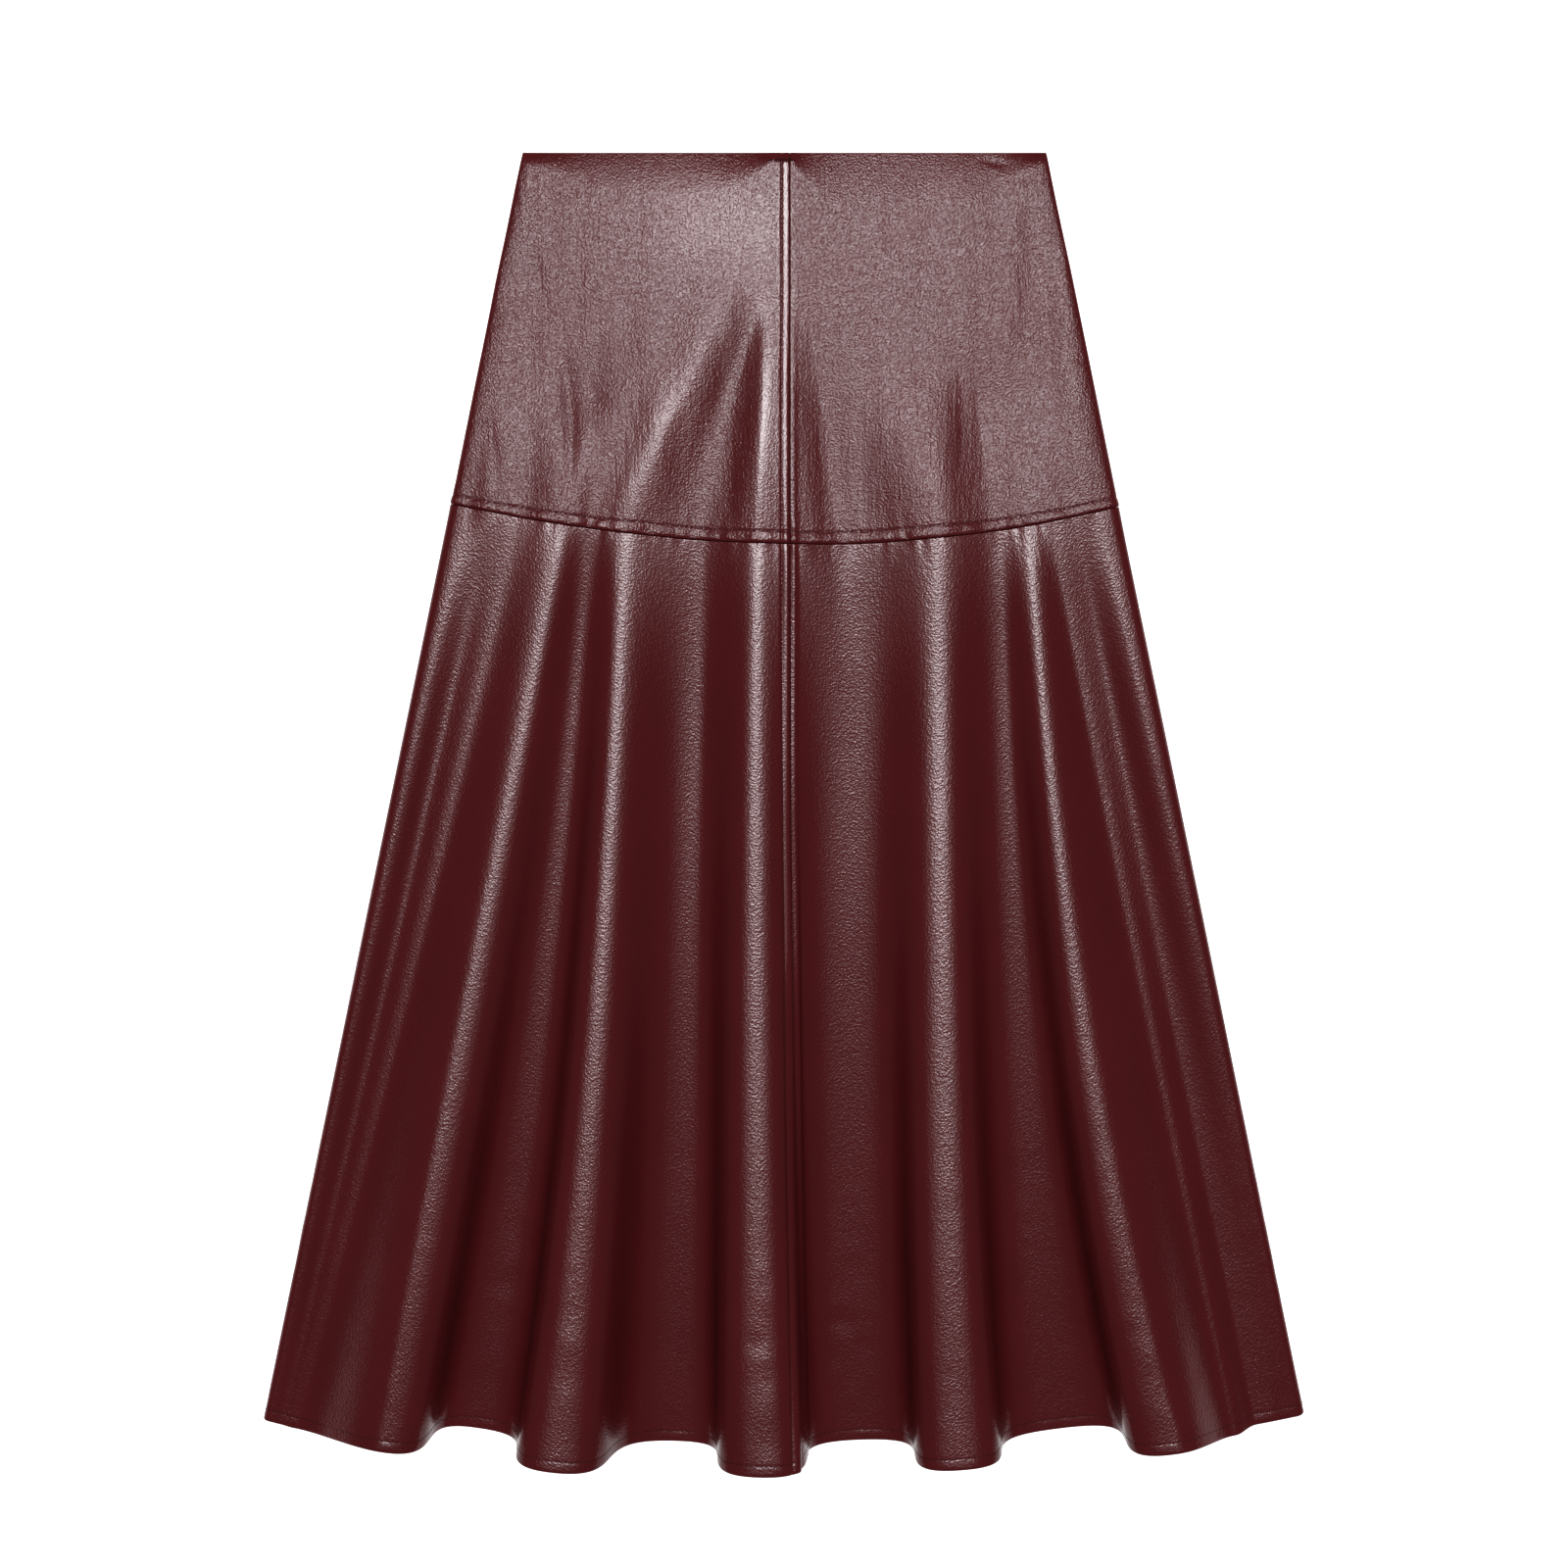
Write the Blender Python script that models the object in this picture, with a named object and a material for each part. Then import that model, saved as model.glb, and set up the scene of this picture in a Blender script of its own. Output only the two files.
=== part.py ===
"""A flared midi skirt of soft coated leather, laid face up on a flat surface.

The waist points to +Y, the front faces +Z and the back rests on Z = 0. The origin is under the middle of
the skirt. Lengths are in metres.

The side edges run towards one apex above the waist, so a place on the cloth is given by two numbers:
"across", from -1 on the left side edge to 1 on the right one, and "along", from -1 at the waist edge through
0 at the yoke seam to 1 at the hem. Each level along the skirt is one cross section, a smooth curve through
the rows of a table of folds.
"""

import bisect
import math
from collections import namedtuple

import bmesh
import bpy
from mathutils import Vector

# Driving dimensions
WAIST_WIDTH = 0.3335
HEM_WIDTH = 0.6625
SIDE_LENGTH = 0.8213
YOKE_SIDE_LENGTH = 0.2270
MIDDLE_LENGTH = 0.8309  # waist edge to the lowest point of the hem
RIGHT_CORNER_IN = 0.0040  # the right hem corner is rounded off by this much

CLOTH = 0.0013
SEAM_GAP = 0.0003
SIDE_SEAM_HEIGHT = 0.0035
EDGE_PULL = 0.6  # how square the cloth turns up or down to its side seams

HEM_TURN_UP = 0.007
HEM_EXTRA = 0.0007
YOKE_WELT = 0.009
YOKE_WELT_RISE = 0.0010
CENTRE_WELT = 0.005
CENTRE_WELT_RISE = 0.0006
WELT_STEP = 0.0007  # width of the slope at a welt's edge
WELT_SUPPORT = 0.0030  # the panel stays plain up to this close to that slope

CENTRE_SEAM_OFFSET = 0.0034  # the centre seam lies this far right of the middle
CENTRE_SEAM_HEM_OFFSET = 0.0100

SEAM_DROP = 0.0030  # the yoke seam hangs this much below its arc in the middle
SEAM_LEAN = 0.0040  # and about a quarter of this much lower on the right, higher on the left
YOKE_HEIGHT = 0.0042
YOKE_SHOULDER_HEIGHT = 0.0060
YOKE_FADE = 0.62  # share of the yoke over which the roots of the folds die out
WAIST_ROLL = 0.009
WAIST_ROLL_TURN = math.radians(68)
WAIST_FLOOR = 0.0021
BACK_WAIST_IN = 0.002

LEATHER_COLOUR = (0.098, 0.019, 0.023, 1.0)
LEATHER_ROUGHNESS = 0.42

# The ridges and valleys of the cloth from left to right. seam, middle and hem are their places across at the
# yoke seam, half way down and at the hem. The rises are the height of the cloth's middle above the surface
# there, in millimetres. The pulls say how square the curve turns beside the row at the hem, where two facing
# pulls that add up to 2 make an upright side. hem_in is how far the hem is drawn in, in millimetres.
FOLD_COLUMNS = "name seam middle hem rise_seam rise_middle rise_hem pull_left pull_right hem_in"
Fold = namedtuple("Fold", FOLD_COLUMNS)

FRONT_FOLDS = (
    Fold("left shoulder", -0.955, -0.965, -0.972, 6.4, 6.6, 6.5, 0.5, 0.4, -0.5),
    Fold("left hollow", -0.800, -0.880, -0.925, 4.6, 6.6, 12.0, 0.5, 0.3, -2.5),
    Fold("fold A", -0.655, -0.705, -0.752, 7.8, 25.0, 46.0, 0.8, 0.9, 2.0),
    Fold("valley AB", -0.570, -0.588, -0.600, 4.2, 3.6, 4.3, 0.8, 1.0, 15.5),
    Fold("fold B", -0.460, -0.420, -0.420, 7.8, 27.0, 51.0, 1.0, 0.65, 3.5),
    Fold("valley BC", -0.243, -0.224, -0.200, 4.2, 3.6, 4.3, 0.85, 0.9, 17.5),
    Fold("fold C", -0.071, -0.063, -0.035, 7.8, 27.0, 52.0, 1.05, 0.92, 7.0),
    Fold("valley CD", 0.203, 0.154, 0.149, 4.2, 3.6, 4.3, 1.08, 1.05, 19.0),
    Fold("fold D", 0.450, 0.375, 0.318, 7.8, 26.0, 50.0, 0.95, 0.75, 7.5),
    Fold("valley DE", 0.600, 0.540, 0.543, 4.2, 3.6, 4.3, 1.05, 1.05, 17.5),
    Fold("fold E", 0.695, 0.668, 0.735, 7.6, 24.0, 46.0, 0.95, 0.55, 2.0),
    Fold("foot of fold E", 0.780, 0.835, 0.861, 5.2, 9.0, 23.0, 0.4, 0.85, 1.0),
    Fold("right hollow", 0.835, 0.870, 0.894, 4.6, 6.4, 14.0, 0.9, 0.4, 3.5),
    Fold("right shoulder", 0.955, 0.965, 0.970, 6.4, 6.6, 8.0, 0.4, 0.4, 3.0),
)

# The back rests on the surface and lifts a little inside the front's folds.
BACK_REST = 1000 * CLOTH / 2
BACK_FOLDS = (
    Fold("left rest", -0.930, -0.930, -0.930, BACK_REST, BACK_REST, BACK_REST, 0.5, 0.6, 3.0),
    Fold("swell A", -0.780, -0.775, -0.765, 1.0, 4.5, 11.0, 0.45, 0.45, 15.0),
    Fold("rest AB", -0.590, -0.605, -0.615, BACK_REST, BACK_REST, BACK_REST, 0.9, 0.9, 20.0),
    Fold("swell B", -0.430, -0.395, -0.400, 1.2, 5.5, 13.0, 0.45, 0.45, 19.0),
    Fold("rest BC", -0.243, -0.224, -0.215, BACK_REST, BACK_REST, BACK_REST, 0.9, 0.9, 21.0),
    Fold("swell C", -0.040, -0.040, -0.035, 1.2, 5.5, 13.0, 0.45, 0.45, 20.0),
    Fold("rest CD", 0.203, 0.154, 0.149, BACK_REST, BACK_REST, BACK_REST, 0.9, 0.9, 22.0),
    Fold("swell D", 0.430, 0.385, 0.332, 1.2, 5.5, 13.0, 0.45, 0.45, 20.0),
    Fold("rest DE", 0.600, 0.540, 0.543, BACK_REST, BACK_REST, BACK_REST, 0.9, 0.9, 21.0),
    Fold("swell E", 0.720, 0.735, 0.755, 1.0, 4.5, 11.0, 0.45, 0.45, 14.0),
    Fold("right rest", 0.930, 0.930, 0.930, BACK_REST, BACK_REST, BACK_REST, 0.6, 0.5, 7.0),
)

# How finely each panel follows its sections
FRONT_SPANS = 5
YOKE_SPANS = 2
BACK_SPANS = 3
BACK_YOKE_SPANS = 1
EDGE_SPANS = 3
SKIRT_LEVELS = 14
YOKE_LEVELS = 5
ROLL_LEVELS = 3  # steps in the roll at the waist edge
BACK_LEVELS = 9
BACK_YOKE_LEVELS = 2
PROBE = 0.002  # step, as a share of a fold or of a length, for the cloth's normals
SEARCH_STEPS = 200  # steps between two rows in which the centre seam is looked for

# The cone that the side edges lie on
HALF_ANGLE_SINE = (HEM_WIDTH - WAIST_WIDTH) / 2 / SIDE_LENGTH
HALF_ANGLE_TANGENT = HALF_ANGLE_SINE / math.sqrt(1 - HALF_ANGLE_SINE**2)
WAIST_RADIUS = WAIST_WIDTH / 2 / HALF_ANGLE_SINE
SEAM_RADIUS = WAIST_RADIUS + YOKE_SIDE_LENGTH
HEM_RADIUS = WAIST_RADIUS + SIDE_LENGTH
WAIST_Y = MIDDLE_LENGTH / 2
APEX_Y = WAIST_Y + WAIST_WIDTH / 2 / HALF_ANGLE_TANGENT


def between(first, second, share):
    return first + (second - first) * share


def smooth_step(share):
    share = min(max(share, 0.0), 1.0)
    return share * share * (3 - 2 * share)


def through_three(first, middle, last, share):
    """The value at share of a length whose start, middle and end values are given."""
    bend = 2 * (first + last - 2 * middle)
    return first + (last - first - bend) * share + bend * share * share


def curve(first, first_handle, last_handle, last, share):
    """A cubic curve between two values with its two handles."""
    rest = 1 - share
    return (
        first * rest**3
        + 3 * first_handle * rest * rest * share
        + 3 * last_handle * rest * share * share
        + last * share**3
    )


def fold_across(fold, along):
    return through_three(fold.seam, fold.middle, fold.hem, max(along, 0.0))


def front_rise(fold, along):
    if along >= 0:
        return through_three(fold.rise_seam, fold.rise_middle, fold.rise_hem, along) / 1000
    base = YOKE_SHOULDER_HEIGHT if "shoulder" in fold.name else YOKE_HEIGHT
    return between(fold.rise_seam / 1000, base, smooth_step(-along / YOKE_FADE))


def back_rise(fold, along):
    if along >= 0:
        return through_three(fold.rise_seam, fold.rise_middle, fold.rise_hem, along) / 1000
    return between(fold.rise_seam, BACK_REST, smooth_step(-along / YOKE_FADE)) / 1000


def seam_radius(across):
    """The yoke seam is an arc about the apex that hangs a little lower right of the middle."""
    return SEAM_RADIUS + SEAM_DROP * (1 - across * across) + SEAM_LEAN * across * (1 - abs(across))


def waist_radius(across):
    return (APEX_Y - WAIST_Y) * math.hypot(1, across * HALF_ANGLE_TANGENT)


def waist_roll(along):
    """The front's edge rolls down at the waist: (distance in from the waist line, share of height left)."""
    length = SEAM_RADIUS - WAIST_RADIUS
    inward = (1 + along) * length
    if inward >= WAIST_ROLL:
        return inward, 1.0
    turn = WAIST_ROLL_TURN * (1 - inward / WAIST_ROLL)
    full = math.sin(WAIST_ROLL_TURN)
    return WAIST_ROLL * (1 - math.sin(turn) / full), math.cos(turn)


class Cloth:
    """One layer of the skirt, as a surface over a place across its folds and a place along its length."""

    def __init__(self, folds, rise, edge_height, waist_in):
        self.folds = folds
        self.rise = rise
        self.edge_height = edge_height
        self.waist_in = waist_in
        self.last = len(folds) + 1

    def row(self, index, along):
        """(across, height, left pull, right pull, hem drawn in) of a row, the two edges included."""
        if index in (0, self.last):
            side = -1 if index == 0 else 1
            hem_in = 0.0 if side < 0 else RIGHT_CORNER_IN
            return side, self.edge_height, EDGE_PULL, EDGE_PULL, hem_in
        fold = self.folds[index - 1]
        squareness = max(along, 0.0) ** 0.6
        pull_left = between(0.5, fold.pull_left, squareness)
        pull_right = between(0.5, fold.pull_right, squareness)
        return fold_across(fold, along), self.rise(fold, along), pull_left, pull_right, fold.hem_in / 1000

    def section(self, place, along):
        """(across, height, hem drawn in) at a place: a row's index plus a share of the way to the next."""
        index = min(max(int(math.floor(place)), 0), self.last - 1)
        share = place - index
        left = self.row(index, along)
        right = self.row(index + 1, along)
        gap = right[0] - left[0]
        left_across, right_across = left[0] + gap * left[3], right[0] - gap * right[2]
        left_height, right_height = left[1], right[1]
        if index == 0:
            left_across = left[0]
            left_height = between(left[1], right[1], EDGE_PULL)
        if index == self.last - 1:
            right_across = right[0]
            right_height = between(right[1], left[1], EDGE_PULL)
        across = curve(left[0], left_across, right_across, right[0], share)
        height = curve(left[1], left_height, right_height, right[1], share)
        return across, height, between(left[4], right[4], smooth_step(share))

    def point(self, place, along):
        across, height, hem_in = self.section(place, along)
        seam = seam_radius(across)
        if along >= 0:
            radius = between(seam, HEM_RADIUS - hem_in, along)
        else:
            waist = waist_radius(across)
            inward, left = waist_roll(along)
            share = inward / (SEAM_RADIUS - WAIST_RADIUS)
            radius = between(waist + self.waist_in, seam, share)
            height = between(min(WAIST_FLOOR, height), height, left)
        slope = across * HALF_ANGLE_TANGENT
        size = math.hypot(1, slope)
        edge_share = 1 - CLOTH / 2 / (radius * HALF_ANGLE_SINE)
        return Vector((radius * slope / size * edge_share, APEX_Y - radius / size, height))

    def normal(self, place, along):
        """The upward normal, from points on either side, so that two panels share it at their seam."""
        low, high = max(place - PROBE, 0.0), min(place + PROBE, self.last - PROBE / 100)
        near, far = max(along - PROBE, -1.0), min(along + PROBE, 1.0)
        step_across = self.point(high, along) - self.point(low, along)
        step_along = self.point(place, far) - self.point(place, near)
        return step_along.cross(step_across).normalized()


FRONT = Cloth(FRONT_FOLDS, front_rise, SIDE_SEAM_HEIGHT + SEAM_GAP / 2, CLOTH / 2)
BACK = Cloth(BACK_FOLDS, back_rise, SIDE_SEAM_HEIGHT - SEAM_GAP / 2, BACK_WAIST_IN)

CENTRE_FOLD = 1 + [fold.name for fold in FRONT_FOLDS].index("fold C")


def centre_place(along, offset):
    """Where a line beside the centre seam runs on the front, as a place across the folds."""
    shift = between(CENTRE_SEAM_OFFSET, CENTRE_SEAM_HEM_OFFSET, max(along, 0.0) ** 2) + offset
    past_seam = HEM_RADIUS - SEAM_RADIUS if along > 0 else SEAM_RADIUS - WAIST_RADIUS
    radius = SEAM_RADIUS + along * past_seam
    wanted = shift / (radius * HALF_ANGLE_TANGENT)
    shares = [step / SEARCH_STEPS for step in range(-SEARCH_STEPS, SEARCH_STEPS + 1)]
    places = [FRONT.section(CENTRE_FOLD + share, along)[0] for share in shares]
    after = min(max(bisect.bisect(places, wanted), 1), len(shares) - 1)
    before = after - 1
    part = (wanted - places[before]) / (places[after] - places[before])
    return CENTRE_FOLD + between(shares[before], shares[after], part)


def spread(first, last, spans):
    """Places from first to last, with spans steps between every two rows and EDGE_SPANS in an edge's curl."""
    places = []
    for index in range(int(math.floor(first)), int(math.ceil(last))):
        count = EDGE_SPANS if index in (0, len(FRONT_FOLDS)) else spans
        places.extend(index + step / count for step in range(count))
    places = [place for place in places if first < place < last]
    return [first] + places + [last]


def front_left_columns(along, spans):
    """Places of the left half's columns: evenly through the folds, then the welt beside the centre seam."""
    offsets = (CENTRE_WELT + WELT_STEP + WELT_SUPPORT, CENTRE_WELT + WELT_STEP, CENTRE_WELT, CENTRE_WELT / 2)
    welt = [centre_place(along, -offset) for offset in offsets + (SEAM_GAP / 2,)]
    body = spread(0, CENTRE_FOLD - 1, spans)
    last_stretch = [between(CENTRE_FOLD - 1, welt[0], step / spans) for step in range(1, spans)]
    return body + last_stretch + welt


def front_right_columns(along, spans):
    start = centre_place(along, SEAM_GAP / 2)
    first_stretch = [between(start, CENTRE_FOLD + 1, step / spans) for step in range(spans)]
    return first_stretch + spread(CENTRE_FOLD + 1, len(FRONT_FOLDS) + 1, spans)


def back_columns(along, spans):
    places = [0, 0.35, 0.7]
    for index in range(1, len(BACK_FOLDS)):
        places.extend(index + step / spans for step in range(spans))
    edge = len(BACK_FOLDS) + 1
    return places + [edge - 1, edge - 0.7, edge - 0.35, edge]


def skirt_levels(count):
    """Places along a skirt panel, closer together near the yoke seam, with the turned-up hem at the end."""
    length = HEM_RADIUS - SEAM_RADIUS
    start = SEAM_GAP / 2 / length
    fold_line = 1 - HEM_TURN_UP / length
    slope_line = fold_line - WELT_STEP / length
    body = [between(start, slope_line, (step / count) ** 1.25) for step in range(count + 1)]
    return body + [fold_line, 1 - HEM_TURN_UP / 2 / length, 1.0]


def yoke_levels(count, roll_steps):
    """Places along a yoke panel, from the waist's roll to the welt at the yoke seam."""
    length = SEAM_RADIUS - WAIST_RADIUS
    rolled = WAIST_ROLL / length
    roll = [-1 + rolled * step / roll_steps for step in range(roll_steps)]
    welt = -YOKE_WELT / length
    slope_line = welt - WELT_STEP / length
    support = slope_line - WELT_SUPPORT / length
    body = [between(-1 + rolled, support, step / count) for step in range(count + 1)]
    return roll + body + [slope_line, welt, welt / 2, -SEAM_GAP / 2 / length]


def welt_share(distance, width):
    """How much of a welt's rise is reached at a distance from its seam: 1 on it, 0 past its edge."""
    return min(max((width + WELT_STEP - distance) / WELT_STEP, 0.0), 1.0)


def hem_share(along):
    distance = (1 - along) * (HEM_RADIUS - SEAM_RADIUS)
    return welt_share(distance, HEM_TURN_UP)


def yoke_welt_share(along):
    distance = -along * (SEAM_RADIUS - WAIST_RADIUS)
    share = welt_share(distance, YOKE_WELT)
    return share * between(0.7, 1.0, math.sin(math.pi * min(distance / YOKE_WELT, 1.0)))


def build_wall(name, cloth, columns_at, spans, levels, outer_extra, inner_extra):
    """A closed wall of cloth: a grid of places is its outer side, and extruding it makes the inner one."""
    columns = [columns_at(along, spans) for along in levels]
    across_count = len(columns[0]) - 1
    along_count = len(levels) - 1
    mesh = bpy.data.meshes.new(name)
    bm = bmesh.new()
    bmesh.ops.create_grid(bm, x_segments=across_count, y_segments=along_count, size=1.0)
    spots = {}
    for vert in bm.verts:
        column = round((vert.co.x + 1) / 2 * across_count)
        level = round((1 - vert.co.y) / 2 * along_count)
        spots[vert.index] = (column, level)
    spot_layer = bm.verts.layers.int.new("spot")
    for vert in bm.verts:
        column, level = spots[vert.index]
        vert[spot_layer] = column * (along_count + 1) + level
    grown = bmesh.ops.extrude_face_region(bm, geom=bm.faces[:], use_keep_orig=True)
    inner = {item for item in grown["geom"] if isinstance(item, bmesh.types.BMVert)}
    for vert in bm.verts:
        column, level = divmod(vert[spot_layer], along_count + 1)
        along = levels[level]
        place = columns[level][column]
        middle = cloth.point(place, along)
        normal = cloth.normal(place, along)
        if vert in inner:
            vert.co = middle - normal * (CLOTH / 2 + inner_extra(column, along))
        else:
            vert.co = middle + normal * (CLOTH / 2 + outer_extra(column, along))
    bmesh.ops.recalc_face_normals(bm, faces=bm.faces[:])
    bm.to_mesh(mesh)
    bm.free()
    mesh.shade_smooth()
    mesh.set_sharp_from_angle(angle=math.radians(50))
    panel = bpy.data.objects.new(name, mesh)
    panel.data.materials.append(leather())
    bpy.context.scene.collection.objects.link(panel)
    return panel


def leather():
    """The coated leather of the whole skirt, one material made once."""
    name = "oxblood leather"
    if name in bpy.data.materials:
        return bpy.data.materials[name]
    material = bpy.data.materials.new(name)
    material.use_nodes = True
    shader = material.node_tree.nodes["Principled BSDF"]
    shader.inputs["Base Color"].default_value = LEATHER_COLOUR
    shader.inputs["Roughness"].default_value = LEATHER_ROUGHNESS
    shader.inputs["Metallic"].default_value = 0.0
    return material


def no_extra(column, along):
    return 0.0


def hem_extra(column, along):
    return HEM_EXTRA * hem_share(along)


def left_welt(columns):
    """The pressed allowance beside the centre seam, which the last three columns of a left half stand on."""

    def rise(column, along):
        return CENTRE_WELT_RISE if column >= columns - 3 else 0.0

    return rise


def yoke_rise(left_columns):
    """The welt along the yoke seam, and the centre one too on a left half, which has left_columns columns."""
    centre = left_welt(left_columns) if left_columns else no_extra

    def rise(column, along):
        return max(YOKE_WELT_RISE * yoke_welt_share(along), centre(column, along))

    return rise


def build_front():
    """Two yoke halves and two flared halves, whose left ones carry the centre seam's pressed allowance."""
    yoke = yoke_levels(YOKE_LEVELS, ROLL_LEVELS)
    skirt = skirt_levels(SKIRT_LEVELS)
    yoke_columns = len(front_left_columns(0.0, YOKE_SPANS))
    skirt_columns = len(front_left_columns(0.0, FRONT_SPANS))
    left, right = front_left_columns, front_right_columns
    build_wall("front_yoke_left", FRONT, left, YOKE_SPANS, yoke, yoke_rise(yoke_columns), no_extra)
    build_wall("front_yoke_right", FRONT, right, YOKE_SPANS, yoke, yoke_rise(None), no_extra)
    build_wall("front_skirt_left", FRONT, left, FRONT_SPANS, skirt, left_welt(skirt_columns), hem_extra)
    build_wall("front_skirt_right", FRONT, right, FRONT_SPANS, skirt, no_extra, hem_extra)


def build_back():
    """One yoke and one flared panel, plain and flat but for low swells inside the front's folds."""
    yoke = yoke_levels(BACK_YOKE_LEVELS, ROLL_LEVELS)
    skirt = skirt_levels(BACK_LEVELS)
    build_wall("back_yoke", BACK, back_columns, BACK_YOKE_SPANS, yoke, no_extra, no_extra)
    build_wall("back_skirt", BACK, back_columns, BACK_SPANS, skirt, hem_extra, no_extra)


def clear_scene():
    for thing in list(bpy.data.objects):
        bpy.data.objects.remove(thing, do_unlink=True)


clear_scene()
build_front()
build_back()
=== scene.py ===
import math
from collections import namedtuple

import bmesh
import bpy
import numpy as np
from mathutils import Matrix, Vector


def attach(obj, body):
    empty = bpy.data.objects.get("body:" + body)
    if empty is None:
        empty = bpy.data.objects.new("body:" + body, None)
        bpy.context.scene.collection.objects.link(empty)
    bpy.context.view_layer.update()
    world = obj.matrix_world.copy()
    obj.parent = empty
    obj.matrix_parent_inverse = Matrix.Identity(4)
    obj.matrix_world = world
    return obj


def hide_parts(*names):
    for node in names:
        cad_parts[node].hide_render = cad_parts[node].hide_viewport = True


# A flared midi skirt of soft coated leather, laid face up with its waist towards +Y. Lengths are in metres.
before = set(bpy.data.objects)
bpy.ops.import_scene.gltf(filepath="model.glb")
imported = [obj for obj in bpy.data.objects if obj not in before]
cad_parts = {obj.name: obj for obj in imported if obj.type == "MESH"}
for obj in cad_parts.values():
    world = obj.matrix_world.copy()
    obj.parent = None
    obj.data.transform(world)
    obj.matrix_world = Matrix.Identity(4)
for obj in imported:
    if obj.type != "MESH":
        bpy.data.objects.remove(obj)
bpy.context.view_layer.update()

skirt = {
    "waistWidth": 0.3335,
    "hemWidth": 0.6625,
    "sideLength": 0.8213,
    "yokeSideLength": 0.2270,
    "middleLength": 0.8309,
    "rightCornerIn": 0.0040,
    "outerSide": 0.00065,  # the leather's outer side stands this far off the middle of its wall
    "leather": 0.0008,  # thickness of the leather
    "sideSeamHeight": 0.0035,
    "seamGap": 0.0003,
    "edgePull": 0.8,  # how square the cloth turns to its side seams
    "seamDrop": 0.0030,  # the yoke seam hangs this much below its arc
    "seamLean": 0.0040,  # and lower on the right, higher on the left
    "seamLow": 0.0018,
    "seamTilt": 0.0009,
    "centreOffset": 0.0034,  # the centre seam lies this far right of the middle, more at the hem
    "centreHemOffset": 0.0100,
    "yokeHeight": 0.0050,  # how high the flat part of the front yoke lies
    "shoulderHeight": 0.0053,  # and its rows next to the side seams
    "waistFloor": 0.0024,  # the front's height at the rolled edge of the waist
    "frontWaistOut": 0.0006,
    "backWaistIn": 0.002,
    "hemFold": 0.0010,  # radius of the folded edge at the hem
    "waistFold": 0.0008,
    "seamTuck": 0.0004,  # radius of the edges that turn down into a seam
    "yokeTuckMore": 0.0002,
    "hemTurnUp": 0.007,
}

# How the folds die out: reaches are shares of the yoke or of the skirt, curves are exponents.
drape = {
    "leanReach": 0.72,
    "leanCurve": 1.4,
    "rootCurve": 1.2,
    "liftReach": 0.12,
    "liftCurve": 1.5,
    "pullCurve": 0.9,
    "rollCurve": 1.8,
}

halfAngleSine = (skirt["hemWidth"] - skirt["waistWidth"]) / 2 / skirt["sideLength"]
halfAngleTangent = halfAngleSine / math.sqrt(1 - halfAngleSine**2)
waistRadius = skirt["waistWidth"] / 2 / halfAngleSine
seamRadius = waistRadius + skirt["yokeSideLength"]
hemRadius = waistRadius + skirt["sideLength"]
yokeLength = seamRadius - waistRadius
skirtLength = hemRadius - seamRadius
waistY = skirt["middleLength"] / 2
apexY = waistY + skirt["waistWidth"] / 2 / halfAngleTangent

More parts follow.
